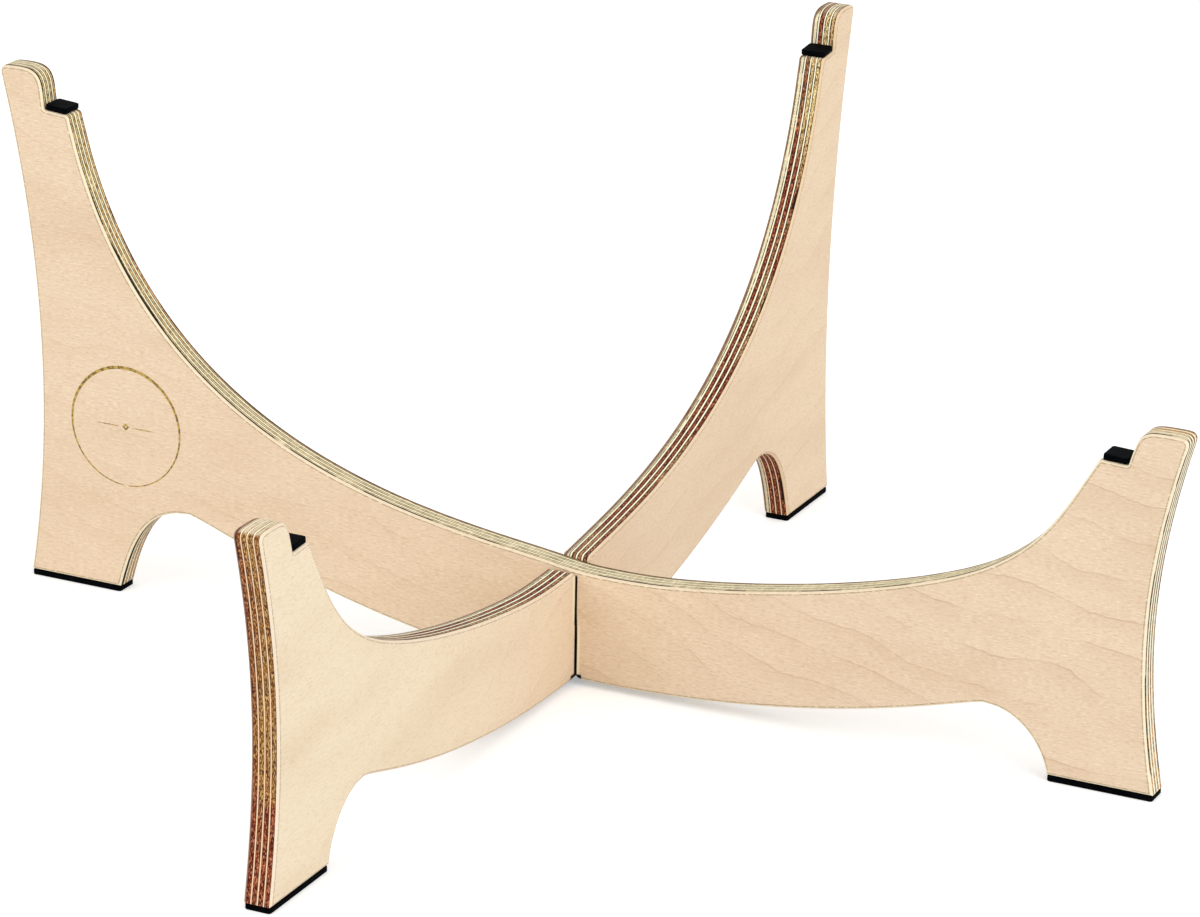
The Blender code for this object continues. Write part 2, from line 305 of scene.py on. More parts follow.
# Noise over a panel: cells per millimetre along it and up it, octaves, and roughness
Pattern = namedtuple("Pattern", "along up detail roughness")
BROAD_TONE = Pattern(0.010, 0.035, 2.0, 0.5)
GRAIN_LINES = Pattern(0.16, 1.3, 3.0, 0.65)
FLECKS = Pattern(0.42, 1.7, 2.0, 0.6)
RING_SWAY = Pattern(0.016, 0.02, 1.0, 0.5)
RING_QUIVER = Pattern(0.12, 0.12, 2.0, 0.6)
RING_PATCHES = Pattern(0.03, 0.05, 1.0, 0.5)
PLY_SWAY = Pattern(0.05, 0.05, 1.0, 0.5)
PLY_CHARACTER = Pattern(0.020, 0.020, 2.0, 0.5)
SPECKS = Pattern(0.70, 0.70, 2.0, 0.75)
STREAKS = Pattern(0.12, 0.12, 2.0, 0.6)
GLUE_STRETCHES = Pattern(0.12, 0.12, 2.0, 0.6)
GLUE_DOTS = Pattern(0.80, 0.80, 1.0, 0.5)
GAP_PLACES = Pattern(0.035, 0.035, 1.0, 0.5)

# Layers of noise are far enough apart to have nothing in common
SIDE_LAYERS = 40.0            # from a panel's middle to either side
PATCH_LAYER = 9.0
STRETCH_LAYER = 7.0
DOT_LAYER = 3.0
SPECK_CELLS_ACROSS = 2.2      # layers of specks per millimetre across the panel

# A mark by the value from which it begins to show, the value at which it shows in full, and its share then
Mark = namedtuple("Mark", "start full share", defaults=(1.0,))
BROAD_DARK = Mark(0.42, 0.75, 0.28)
GRAIN_DARK = Mark(0.44, 0.75, 0.36)
GRAIN_LIGHT = Mark(0.46, 0.25, 0.30)
FLECK_DARK = Mark(0.54, 0.70, 0.50)
FLECK_LIGHT = Mark(0.46, 0.30, 0.35)
RING_SOFT = Mark(0.30, 0.99, 0.35)
RING_SHARP = Mark(0.93, 0.97, 0.75)
RING_END = Mark(0.975, 1.0)
RING_SHOWN = Mark(0.30, 0.62)
SPECK_DARK = Mark(0.49, 0.56)
SPECK_LIGHT = Mark(0.46, 0.38)
STREAK_DARK = Mark(0.50, 0.57, 0.70)
STRETCH_SHOWN = Mark(0.32, 0.46)
DOT_SHOWN = Mark(0.36, 0.48, 0.6)
RIM_SHOWN = Mark(0.32, 0.54, 0.65)

# How far the surface faces up or lengthwise
CROWN_FACING = Mark(0.60, 0.97)
LEVEL_EDGE_FACING = Mark(0.30, 0.80, 0.7)
BROAD_LINE_FACING = Mark(0.5, 0.9, 1.1)
WALL_FACING = Mark(0.10, 0.45)

# Growth rings, in millimetres and as slopes
RING_LINE_SPACING = 17.0
RING_FALL = 0.5               # at the crossing, towards the low end
RING_FALL_CHANGE = -0.0008    # of that slope per millimetre
RING_FALL_HIGH_END = 0.2
RING_SWAY_HEIGHT = 30.0
RING_QUIVER_HEIGHT = 3.0

# Stretches of a panel in millimetres along it, or up from the floor
LOW_END = Mark(-40.0, 165.0)
LOW_EDGE = Mark(240.0, 248.0)
LOW_HORN = Mark(236.0, 246.0)
ARCH_HEIGHT = Mark(48.0, 40.0)
ARCH_REACH = Mark(150.0, 180.0)
HIGH_HORN = Mark(120.0, 160.0)
HORN_TOP = Mark(160.0, 200.0)
STEEP_CRADLE = (-226.0, -196.0)
STEEP_BLEND = 6.0
CROWN_REACH = 246.0           # from here outward an edge that faces up is a horn's crown
CROWN_BLEND = 4.0
TOP_LINE_BLEND = 10.0

# Plies across the thickness, in millimetres from the middle
FACE = PLY / 2 / MM           # the panel's face
BAND_PERIOD = 2.78            # from one wide ply to the next
BAND_BLUR = 0.10
PLY_SWAY_WIDTH = 0.25
OUTER_PLY = Mark(2.73, 2.83)
BACK_SIDE = Mark(-0.1, 0.1)
BACK_HALF = Mark(0.0, 4.5)
CROWN_BACK = Mark(-3.0, 1.0)
GLUE_SPREAD = (0.6, 1.6)      # times a glue line's half width, between which the line fades out
GAP_BLEND = 0.03              # of the noise value
GAP_START = (4.08, 3.68)      # the second one where the cradle is steep
GAP_REACH = (0.45, 0.80)      # from the glue line, the second one where the cradle is steep
GAP_BLUR = 0.2
VENEER = Mark(5.19, 5.31)
# The pale band on the rounding is partly sanded veneer and partly painted highlight
ROUNDED_FROM = Mark(FACE - 0.30, FACE - 0.03)
RIM_FROM = Mark(FACE - 0.20, FACE - 0.10)
RIM_TO = Mark(FACE - 0.03, FACE - 0.005)
# The dark line along the back edge is painted shade on the rounding that turns away
OUTLINE_FROM = 4.90
OUTLINE_BLUR = 0.2
OUTLINE_TO = Mark(FACE - 0.35, FACE - 0.05)

# Shares of a colour or a change
CHARACTER_SPAN = 2.2          # how differently red the plies are
ARCH_RED = 0.9
TOP_RED = 0.6
TOP_SHARE = 0.85
OUTLINE_SHARE = 0.75
ROUNDED_SHARE = (0.7, 0.25)   # by the grain, and everywhere
# painted highlight of the pale line beside the joint's gap
HIGHLIGHT_LINE_SHARE = 0.65
# painted shade on the slot walls
WALL_SHADE_SHARE = 0.8

# Painted shade and highlight at the joint, in millimetres from the middle of the crossing and up from the
# floor
WEB_LEVEL = 50.0              # up to which the marks show, just below the roundover of the crossing
BELLY_LEVEL = 3.0             # the belly at the crossing
WEB_BLEND = 1.5
HALF_BLEND = 16.0             # over which the lines of the lower half fade into the upper half's
# Painted shade where the joint falls dark: the slot walls, the lines along the gaps, and the bottom of the
# crossing
SLOT_TOP = WEB_LEVEL - 2.5    # of the dark walls in the lower panel's slot
LOWER_WALL_SHADE = (7.3, 0.4)       # reach of the dark walls and their blur
UPPER_WALL_SHADE = (9.8, 0.8)
# Pale lines of painted highlight beside the gap
LOWER_HIGHLIGHT_LINE = (6.9, 8.9)
UPPER_HIGHLIGHT_LINE = (7.5, 8.9)
LOWER_SHADE_LINE = (4.9, 6.7)
UPPER_SHADE_LINE = 6.0         # its inner side
UPPER_SHADE_LINE_END = (7.3, 7.7)       # its outer side in the upper half and in the lower half
ENTRY_SHADE = (6.7, BELLY_LEVEL + 4.0, 1.0)  # reach, height and blur of the dark foot of the lower panel's line
MOUTH_SHADE = (10.0, BELLY_LEVEL + 2.8, 0.8)  # the same for the dark mouth at the bottom of the crossing

# The surface of the plywood
WOOD_ROUGHNESS = (0.18, 0.50)             # by the grain, and everywhere
WOOD_SPECULAR = 0.15
WOOD_RELIEF = (0.6, 0.4)                  # of the grain and of the flecks
WOOD_BUMP = (0.25, 0.0001)                # strength, and height in metres

# Sockets of Blender's Mix node
MIX_SHARE = 0
MIX_VALUES = (2, 3)
MIX_COLOURS = (6, 7)
MIX_VALUE_OUT = 0
MIX_COLOUR_OUT = 2


class Graph:
    """Short calls that build one material's nodes."""

    def __init__(self, name):
        self.material = bpy.data.materials.new(name)
        self.material.use_nodes = True
        self.tree = self.material.node_tree
        self.shader = self.tree.nodes["Principled BSDF"]

    def feed(self, socket, value):
        if isinstance(value, bpy.types.NodeSocket):
            self.tree.links.new(value, socket)
        else:
            socket.default_value = value

    def math(self, operation, first, second=0.0, third=0.0):
        node = self.tree.nodes.new("ShaderNodeMath")
        node.operation = operation
        for socket, value in zip(node.inputs, (first, second, third)):
            self.feed(socket, value)
        return node.outputs[0]

    def times(self, first, second):
        return self.math("MULTIPLY", first, second)

    def plus(self, first, second):
        return self.math("ADD", first, second)

    def largest(self, *shares):
        """The largest of two or more shares."""
        result = shares[0]
        for share in shares[1:]:
            result = self.math("MAXIMUM", result, share)
        return result

    def without(self, share):
        """The rest of a share."""
        return self.math("SUBTRACT", 1.0, share)

    def swing(self, noise, span):
        """Noise as a swing about 0 that is a span wide."""
        return self.times(self.plus(noise, -0.5), span)

    def rise(self, value, low, high):
        """0 below low, 1 above high, smooth between."""
        node = self.tree.nodes.new("ShaderNodeMapRange")
        node.interpolation_type = "SMOOTHSTEP"
        self.feed(node.inputs["Value"], value)
        self.feed(node.inputs["From Min"], low)
        self.feed(node.inputs["From Max"], high)
        return node.outputs["Result"]

    def shown(self, value, mark):
        """How much of a mark shows at a value."""
        rise = self.rise(value, mark.start, mark.full)
        return rise if mark.share == 1.0 else self.times(rise, mark.share)

    def below(self, value, high, blur=0.5):
        """1 below high, 0 above."""
        return self.without(self.rise(value, self.plus(high, -blur), high))

    def band(self, value, low, high, blur=0.25):
        """1 from low to high, 0 outside."""
        return self.times(self.rise(value, low, low + blur), self.below(value, high, blur))

    def between(self, share, low, high):
        """A value that goes from low to high with the share."""
        node = self.tree.nodes.new("ShaderNodeMix")
        self.feed(node.inputs[MIX_SHARE], share)
        for place, value in zip(MIX_VALUES, (low, high)):
            self.feed(node.inputs[place], value)
        return node.outputs[MIX_VALUE_OUT]

    def mix(self, share, first, second):
        """A colour that goes from the first to the second with the share."""
        node = self.tree.nodes.new("ShaderNodeMix")
        node.data_type = "RGBA"
        self.feed(node.inputs[MIX_SHARE], share)
        for place, value in zip(MIX_COLOURS, (first, second)):
            self.feed(node.inputs[place], value)
        return node.outputs[MIX_COLOUR_OUT]

    def noise(self, along, across, up, detail, roughness=0.5):
        place = self.tree.nodes.new("ShaderNodeCombineXYZ")
        for socket, value in zip(place.inputs, (along, across, up)):
            self.feed(socket, value)
        node = self.tree.nodes.new("ShaderNodeTexNoise")
        self.feed(node.inputs["Vector"], place.outputs[0])
        self.feed(node.inputs["Scale"], 1.0)
        self.feed(node.inputs["Detail"], detail)
        self.feed(node.inputs["Roughness"], roughness)
        return node.outputs["Fac"]

    def pattern(self, spot, pattern, layer):
        """A panel's noise, different in each layer."""
        return self.noise(self.times(spot.along, pattern.along), layer, self.times(spot.up, pattern.up),
                          pattern.detail, pattern.roughness)

    def even_noise(self, cells, detail, roughness=0.5):
        """Noise with so many cells per millimetre in every direction."""
        return self.noise(*(self.times(value, cells) for value in self.millimetres()), detail, roughness)

    def bump(self, height, strength, distance):
        node = self.tree.nodes.new("ShaderNodeBump")
        node.inputs["Strength"].default_value = strength
        node.inputs["Distance"].default_value = distance
        self.feed(node.inputs["Height"], height)
        self.feed(self.shader.inputs["Normal"], node.outputs["Normal"])

    def millimetres(self):
        """The place on the piece in millimetres, as three values."""
        coordinates = self.tree.nodes.new("ShaderNodeTexCoord")
        scale = self.tree.nodes.new("ShaderNodeVectorMath")
        scale.operation = "SCALE"
        scale.inputs["Scale"].default_value = 1 / MM
        parts = self.tree.nodes.new("ShaderNodeSeparateXYZ")
        self.feed(scale.inputs[0], coordinates.outputs["Object"])
        self.feed(parts.inputs[0], scale.outputs[0])
        return parts.outputs

    def facing(self):
        """How far the surface faces X, Y and up, each from -1 to 1."""
        geometry = self.tree.nodes.new("ShaderNodeNewGeometry")
        parts = self.tree.nodes.new("ShaderNodeSeparateXYZ")
        self.feed(parts.inputs[0], geometry.outputs["Normal"])
        return parts.outputs


def colour(red, green, blue):
    """A screen colour from 0 to 255 as linear light, by the sRGB curve."""
    def linear(value):
        share = value / 255
        return share / 12.92 if share <= 0.04045 else ((share + 0.055) / 1.055) ** 2.4
    return (linear(red), linear(green), linear(blue), 1.0)


# A place on a panel in millimetres: back is the distance from the middle towards the panel's back face,
# depth is the distance from the middle either way, side tells the two sides apart for the noise, and
# rising and lengthwise are how far the surface faces up and along the panel.
Spot = namedtuple("Spot", "along across up back depth side rising lengthwise")

# Colours of a wide ply where it shows end grain
Grain = namedtuple("Grain", "ground dark light")

# How red the wide plies are: the inner ones, the outer ones at the front and at the back, and the front
# and the back at the upright edge of the low end
Redness = namedtuple("Redness", "inner front back low_front low_back")

# What differs between the panels. A pair has one entry for the high end and one for the low end, unless
# its note says something else.
Look = namedtuple("Look", (
    "seed",                   # of the noise
    "veneer",                 # pair, ground of the faces
    "fleck",                  # dark flecks on it
    "sanded",                 # pale flecks on it
    "ring",                   # growth rings on it
    "ring_share",             # pair, how strongly they show
    # the rounded veneer is paler partly as sanded wood and partly as painted highlight
    "rounded",                # pair, the veneer where it is rounded
    "rim",                    # the thin line where the rounding begins
    # the dark line along the back edge is painted shade
    "outline",                # the thin dark line along the back edge
    "band_half_width",        # pair, of the wide plies, the second one where the pale ones are fine
    "fine_all_over",          # whether they are fine in the arches, on the crowns and high up too
    "plain",                  # Grain of the wide plies that aren't red
    "low_plain",              # the same on the upright edge of the low end
    "red_grain",              # Grain of the red ones
    "red",                    # Redness
    "high_paling",            # how much of the red the front plies lose at the top of the high horn
    "back_paling",            # how pale the outer ply at the back is
    "pale",                   # pair, the thin plies, the second one for the low edge and the arches
    "glue",                   # the lines between the plies
    "glue_half_width",        # pair
    # On a top the plies and the glue lines are paler, partly for their long grain and partly as painted
    # light
    "crown_from",             # distance from the crossing, beyond which an edge that faces up is a top
    "top",                    # pair, wide plies on a top, the second one for the low horn's back part
    "top_line",               # the lines between the plies on a top
    "top_line_from",          # place along the panel from which they have that colour
    # the open gaps are drawn near-black as painted shade in the voids
    "gap",                    # open gaps in the core
    "gap_from",               # noise value from which there is one
    "steep_gaps",             # added to the noise where the cradle is steep
))
UPPER_LOOK = Look(
    seed=11.0,
    veneer=(colour(236, 211, 182), colour(235, 211, 184)),
    fleck=colour(206, 174, 138),
    sanded=colour(254, 249, 214),
    ring=colour(188, 148, 112),
    ring_share=(0.16, 0.40),
    rounded=(colour(254, 249, 214), colour(254, 249, 214)),
    rim=colour(150, 128, 96),
    outline=colour(76, 44, 18),
    band_half_width=(0.95, 0.74),
    fine_all_over=False,
    plain=Grain(colour(216, 186, 124), colour(122, 86, 38), colour(248, 230, 174)),
    low_plain=Grain(colour(146, 112, 74), colour(78, 42, 24), colour(206, 178, 136)),
    red_grain=Grain(colour(228, 180, 120), colour(150, 92, 46), colour(248, 216, 164)),
    red=Redness(0.15, 0.10, 0.95, 0.0, 0.5),
    high_paling=0.0,
    back_paling=0.0,
    pale=(colour(255, 250, 212), colour(255, 252, 226)),
    glue=colour(54, 32, 10),
    glue_half_width=(0.22, 0.12),
    crown_from=0.0,
    top=(colour(246, 228, 188), colour(226, 166, 108)),
    top_line=colour(96, 74, 38),
    top_line_from=-300.0,
    gap=colour(16, 5, 2),
    gap_from=0.49,
    steep_gaps=0.20,
)
LOWER_LOOK = Look(
    seed=53.0,
    veneer=(colour(237, 213, 184), colour(240, 224, 196)),
    fleck=colour(212, 182, 146),
    sanded=colour(246, 227, 204),
    ring=colour(204, 172, 138),
    ring_share=(0.25, 0.10),
    rounded=(colour(232, 202, 152), colour(246, 227, 204)),
    rim=colour(172, 146, 126),
    outline=colour(112, 66, 40),
    band_half_width=(1.00, 1.08),
    fine_all_over=True,
    plain=Grain(colour(248, 222, 152), colour(134, 90, 36), colour(255, 246, 190)),
    # darker partly for its end grain and partly as painted shade on this upright edge
    low_plain=Grain(colour(170, 124, 62), colour(84, 42, 10), colour(216, 182, 118)),
    red_grain=Grain(colour(132, 50, 22), colour(60, 10, 2), colour(208, 136, 96)),
    red=Redness(1.0, 0.85, 0.20, 0.05, 0.40),
    high_paling=0.6,
    back_paling=0.6,
    pale=(colour(255, 252, 218), colour(246, 208, 168)),
    glue=colour(44, 10, 4),
    glue_half_width=(0.20, 0.10),
    crown_from=CROWN_REACH,
    top=(colour(240, 224, 188), colour(246, 224, 194)),
    top_line=colour(140, 98, 58),
    top_line_from=CROWN_REACH,
    gap=colour(40, 8, 4),
    gap_from=0.64,
    steep_gaps=0.0,
)


def spot_of(graph, flat):
    """The spot of the point that is shaded; flat is 1 on the upper panel and 0 on the lower one."""
    x, y, z = graph.millimetres()
    facing = graph.facing()
    along = x if flat else graph.times(y, -1.0)
    across = y if flat else x
    back = graph.times(across, 1.0 if flat else -1.0)
    side = graph.times(graph.math("SIGN", across), SIDE_LAYERS)
    lengthwise = graph.math("ABSOLUTE", facing[0] if flat else facing[1])
    return Spot(along, across, z, back, graph.math("ABSOLUTE", across), side, facing[2], lengthwise)


def marked(graph, tone, value, mark, tint):
    """A tone with a tint where a value passes a mark."""
    return graph.mix(graph.shown(value, mark), tone, tint)


def ring_lines(graph, spot, layer):
    """Growth rings that surface on the face as long lines, which slope down towards the low end."""
    beyond = graph.math("MAXIMUM", spot.along, 0.0)
    before = graph.math("MINIMUM", spot.along, 0.0)
    slope = graph.plus(RING_FALL, graph.times(beyond, RING_FALL_CHANGE))
    fall = graph.plus(graph.times(beyond, slope), graph.times(before, RING_FALL_HIGH_END))
    sway = graph.times(graph.pattern(spot, RING_SWAY, layer), RING_SWAY_HEIGHT)
    quiver = graph.times(graph.pattern(spot, RING_QUIVER, layer), RING_QUIVER_HEIGHT)
    level = graph.plus(graph.plus(spot.up, fall), graph.plus(sway, quiver))
    share = graph.math("FRACT", graph.times(level, 1 / RING_LINE_SPACING))
    line = graph.plus(graph.shown(share, RING_SOFT), graph.shown(share, RING_SHARP))
    line = graph.times(line, graph.without(graph.shown(share, RING_END)))
    patch = graph.pattern(spot, RING_PATCHES, graph.plus(layer, PATCH_LAYER))
    return graph.times(line, graph.shown(patch, RING_SHOWN))


def veneer_colour(graph, spot, look, grain, fleck, layer):
    """The face: short flecks along the panel, slow changes of tone, and faint growth rings."""
    low_end = graph.shown(spot.along, LOW_END)
    tone = graph.mix(low_end, *look.veneer)
    tone = marked(graph, tone, graph.pattern(spot, BROAD_TONE, layer), BROAD_DARK, look.fleck)
    tone = marked(graph, tone, grain, GRAIN_DARK, look.fleck)
    tone = marked(graph, tone, grain, GRAIN_LIGHT, look.sanded)
    tone = marked(graph, tone, fleck, FLECK_DARK, look.fleck)
    tone = marked(graph, tone, fleck, FLECK_LIGHT, look.sanded)
    rings = graph.times(ring_lines(graph, spot, layer), graph.between(low_end, *look.ring_share))
    return graph.mix(rings, tone, look.ring)


def rounded_veneer(graph, spot, look, veneer, grain, fleck):
    """The veneer, paler on its rounding as sanded wood and as painted highlight, and the thin line where
    that begins.
    """
    rounded = graph.without(graph.shown(spot.depth, ROUNDED_FROM))
    rounded = graph.times(rounded, graph.without(graph.shown(spot.rising, LEVEL_EDGE_FACING)))
    rounded = graph.times(rounded, graph.math("MULTIPLY_ADD", grain, *ROUNDED_SHARE))
    veneer = graph.mix(rounded, veneer, graph.mix(graph.shown(spot.along, LOW_END), *look.rounded))
    rim = graph.times(graph.shown(spot.depth, RIM_FROM), graph.without(graph.shown(spot.depth, RIM_TO)))
    return graph.mix(graph.times(rim, graph.shown(fleck, RIM_SHOWN)), veneer, look.rim)


def arch_share(graph, spot):
    """1 on the walls of the arches and the feet beside them, 0 elsewhere."""
    reach = graph.math("ABSOLUTE", spot.along)
    return graph.times(graph.shown(spot.up, ARCH_HEIGHT), graph.shown(reach, ARCH_REACH))


def crown_share(graph, spot, look):
    """1 where the edge faces up and counts as a top, 0 elsewhere; tops are paler partly as painted light
    from above.
    """
    reach = graph.math("ABSOLUTE", spot.along)
    counts = graph.rise(reach, look.crown_from - CROWN_BLEND, look.crown_from)
    return graph.times(graph.shown(spot.rising, CROWN_FACING), counts)


def fine_share(graph, spot, look):
    """1 where the pale plies are fine, 0 elsewhere."""
    low_edge = graph.shown(spot.along, LOW_EDGE)
    if look.fine_all_over:
        return graph.largest(low_edge, arch_share(graph, spot), graph.shown(spot.up, HIGH_HORN))
    return graph.times(low_edge, graph.without(crown_share(graph, spot, look)))


def redness(graph, spot, look, number):
    """How red a wide ply is, by its place in the stack, with slow changes along it."""
    red = look.red
    back_side = graph.shown(spot.back, BACK_SIDE)
    outer = graph.between(back_side, red.front, red.back)
    along_cradle = graph.between(graph.shown(spot.depth, OUTER_PLY), red.inner, outer)
    at_low_edge = graph.between(graph.shown(spot.back, BACK_HALF), red.low_front, red.low_back)
    share = graph.between(graph.shown(spot.along, LOW_EDGE), along_cradle, at_low_edge)
    share = graph.plus(share, graph.swing(graph.pattern(spot, PLY_CHARACTER, number), CHARACTER_SPAN))
    paling = graph.times(graph.shown(spot.up, HORN_TOP), graph.without(back_side))
    share = graph.plus(share, graph.times(paling, -look.high_paling))
    share = graph.plus(share, graph.times(arch_share(graph, spot), ARCH_RED))
    return graph.math("MINIMUM", 1.0, graph.math("MAXIMUM", 0.0, share))


def speckled(graph, speck, grain):
    """End grain: dark and light specks on a ground."""
    tone = marked(graph, grain.ground, speck, SPECK_DARK, grain.dark)
    return marked(graph, tone, speck, SPECK_LIGHT, grain.light)


def wide_plies(graph, spot, look, red):
    """The wide plies: speckled end grain, and smooth long grain on the tops, paler there also as painted
    light.
    """
    cells_across = graph.times(spot.across, SPECK_CELLS_ACROSS)
    speck = graph.pattern(spot, SPECKS, cells_across)
    low_edge = graph.shown(spot.along, LOW_EDGE)
    plain = graph.mix(low_edge, speckled(graph, speck, look.plain), speckled(graph, speck, look.low_plain))
    wide = graph.mix(red, plain, speckled(graph, speck, look.red_grain))
    back_ply = graph.times(graph.shown(spot.back, OUTER_PLY), graph.without(low_edge))
    wide = graph.mix(graph.times(back_ply, look.back_paling), wide, look.pale[0])
    return graph.mix(graph.times(crown_share(graph, spot, look), TOP_SHARE), wide,
                     top_plies(graph, spot, look, red, cells_across))


def top_plies(graph, spot, look, red, cells_across):
    """The wide plies where the edge faces up: long grain, and paler also as painted light from above."""
    low_horn = graph.shown(spot.along, LOW_HORN)
    top = graph.mix(graph.times(low_horn, graph.shown(spot.back, CROWN_BACK)), *look.top)
    reddened = graph.times(graph.times(red, graph.without(low_horn)), TOP_RED)
    top = graph.mix(reddened, top, look.red_grain.ground)
    return marked(graph, top, graph.pattern(spot, STREAKS, cells_across), STREAK_DARK, look.top_line)


def plies_colour(graph, spot, look, level):
    """The edge: wide plies, thin pale plies between them, dark lines of glue, and gaps in the core."""
    within = graph.math("MODULO", level, BAND_PERIOD)
    count = graph.plus(graph.math("FLOOR", graph.times(level, 1 / BAND_PERIOD)), 1.0)
    number = graph.times(count, spot.side)
    wide = wide_plies(graph, spot, look, redness(graph, spot, look, number))
    reddish = graph.largest(graph.shown(spot.along, LOW_EDGE), arch_share(graph, spot))
    thin = graph.mix(graph.times(reddish, graph.without(crown_share(graph, spot, look))), *look.pale)
    from_middle = graph.math("ABSOLUTE", graph.plus(within, -BAND_PERIOD / 2))
    half_width = graph.between(fine_share(graph, spot, look), *look.band_half_width)
    from_edge = graph.math("SUBTRACT", from_middle, half_width)
    plies = graph.mix(graph.rise(from_edge, -BAND_BLUR, BAND_BLUR), wide, thin)
    glue_half_width = graph.between(graph.shown(spot.along, LOW_EDGE), *look.glue_half_width)
    from_glue = graph.math("ABSOLUTE", graph.plus(from_edge, glue_half_width))
    plies = graph.mix(glue_share(graph, spot, number, from_glue, glue_half_width), plies,
                      glue_colour(graph, spot, look))
    # open gaps in the core drawn near-black: painted shade
    return graph.mix(gap_share(graph, spot, look, number, from_glue), plies, look.gap)


def glue_share(graph, spot, number, from_glue, half_width):
    """1 on a line of glue, which comes and goes along the panel and is dotted, 0 elsewhere."""
    fading = [graph.times(half_width, times) for times in GLUE_SPREAD]
    line = graph.without(graph.rise(from_glue, *fading))
    stretch = graph.pattern(spot, GLUE_STRETCHES, graph.plus(number, STRETCH_LAYER))
    dots = graph.shown(graph.pattern(spot, GLUE_DOTS, graph.plus(number, DOT_LAYER)), DOT_SHOWN)
    broken = graph.times(graph.shown(stretch, STRETCH_SHOWN), graph.plus(dots, 1 - DOT_SHOWN.share))
    return graph.times(line, broken)


def glue_colour(graph, spot, look):
    """The colour of the glue lines, paler on a top, partly as painted light."""
    from_place = graph.rise(spot.along, look.top_line_from - TOP_LINE_BLEND, look.top_line_from)
    return graph.mix(graph.times(crown_share(graph, spot, look), from_place), look.glue, look.top_line)


def gap_share(graph, spot, look, number, from_glue):
    """1 in an open gap of the core beside the outer glue line, 0 elsewhere; its near-black is painted
    shade.
    """
    steep = graph.times(graph.band(spot.along, *STEEP_CRADLE, STEEP_BLEND), graph.below(spot.back, 0.0))
    place = graph.pattern(spot, GAP_PLACES, graph.plus(number, look.seed))
    place = graph.plus(place, graph.times(steep, look.steep_gaps))
    start = graph.between(steep, *GAP_START)
    gap = graph.times(graph.rise(place, look.gap_from, look.gap_from + GAP_BLEND),
                      graph.rise(spot.depth, start, graph.plus(start, GAP_BLUR)))
    reach = graph.between(steep, *GAP_REACH)
    return graph.times(gap, graph.without(graph.rise(from_glue, reach, graph.plus(reach, GAP_BLUR))))


def outline_share(graph, spot):
    """1 on the thin dark line along the back edge, painted shade where the rounding turns away, broader
    where the edge faces up.
    """
    start = graph.plus(OUTLINE_FROM, graph.times(graph.shown(spot.rising, BROAD_LINE_FACING), -1.0))
    line = graph.rise(spot.back, start, graph.plus(start, OUTLINE_BLUR))
    return graph.times(graph.times(line, graph.without(graph.shown(spot.back, OUTLINE_TO))), OUTLINE_SHARE)


# Zones of the crossing: reach is the distance from its middle, and the others are shares
Crossing = namedtuple("Crossing", "reach wall web lower_half lower_fade")


def crossing_of(graph, spot):
    """The zones of the crossing at a spot."""
    middle = SLOT_LEVEL / MM
    return Crossing(
        reach=graph.math("ABSOLUTE", spot.along),
        wall=graph.shown(spot.lengthwise, WALL_FACING),
        web=graph.below(spot.up, WEB_LEVEL + WEB_BLEND, WEB_BLEND),
        lower_half=graph.below(spot.up, middle),
        lower_fade=graph.below(spot.up, middle + HALF_BLEND / 2, HALF_BLEND),
    )


def lower_joint_painted_light(graph, spot, crossing):
    """On the lower panel: painted shade on the slot's walls, along the gap and at its foot, and a pale
    highlight line.
    """
    wall = graph.times(crossing.wall, graph.below(crossing.reach, *LOWER_WALL_SHADE))
    wall = graph.times(wall, graph.below(spot.up, SLOT_TOP, WEB_BLEND))
    upper_half = graph.times(crossing.web, graph.without(crossing.lower_fade))
    pale = graph.times(graph.band(spot.along, *LOWER_HIGHLIGHT_LINE), upper_half)
    gap_line_shade = graph.times(graph.band(crossing.reach, *LOWER_SHADE_LINE), crossing.lower_half)
    reach, height, blur = ENTRY_SHADE
    entry = graph.times(graph.below(crossing.reach, reach), graph.below(spot.up, height, blur))
    return wall, pale, graph.largest(gap_line_shade, entry)


def upper_joint_painted_light(graph, spot, crossing):
    """On the upper panel: painted shade on the slot's walls and along the gap, and a pale highlight line.
    """
    wall = graph.times(crossing.wall, graph.below(crossing.reach, *UPPER_WALL_SHADE))
    pale = graph.times(graph.band(crossing.reach, *UPPER_HIGHLIGHT_LINE), crossing.lower_fade)
    line_end = graph.between(crossing.lower_fade, *UPPER_SHADE_LINE_END)
    dark = graph.times(graph.band(crossing.reach, UPPER_SHADE_LINE, line_end), crossing.web)
    return wall, pale, dark


def joint_shade_and_highlight(graph, spot, base, look, marks):
    """Painted shade on the slots' walls, along the gaps and at the bottom of the crossing, and a pale
    painted highlight.
    """
    crossing = crossing_of(graph, spot)
    wall, pale, dark = marks(graph, spot, crossing)
    reach, height, blur = MOUTH_SHADE
    mouth = graph.times(graph.below(crossing.reach, reach), graph.below(spot.up, height, blur))
    # painted highlight: a pale line beside the gap
    base = graph.mix(graph.times(pale, HIGHLIGHT_LINE_SHARE), base, look.pale[0])
    # painted shade: the slot walls, the lines along the gaps and the bottom of the crossing drawn dark
    return graph.mix(graph.largest(graph.times(wall, WALL_SHADE_SHARE), dark, mouth), base, look.gap)


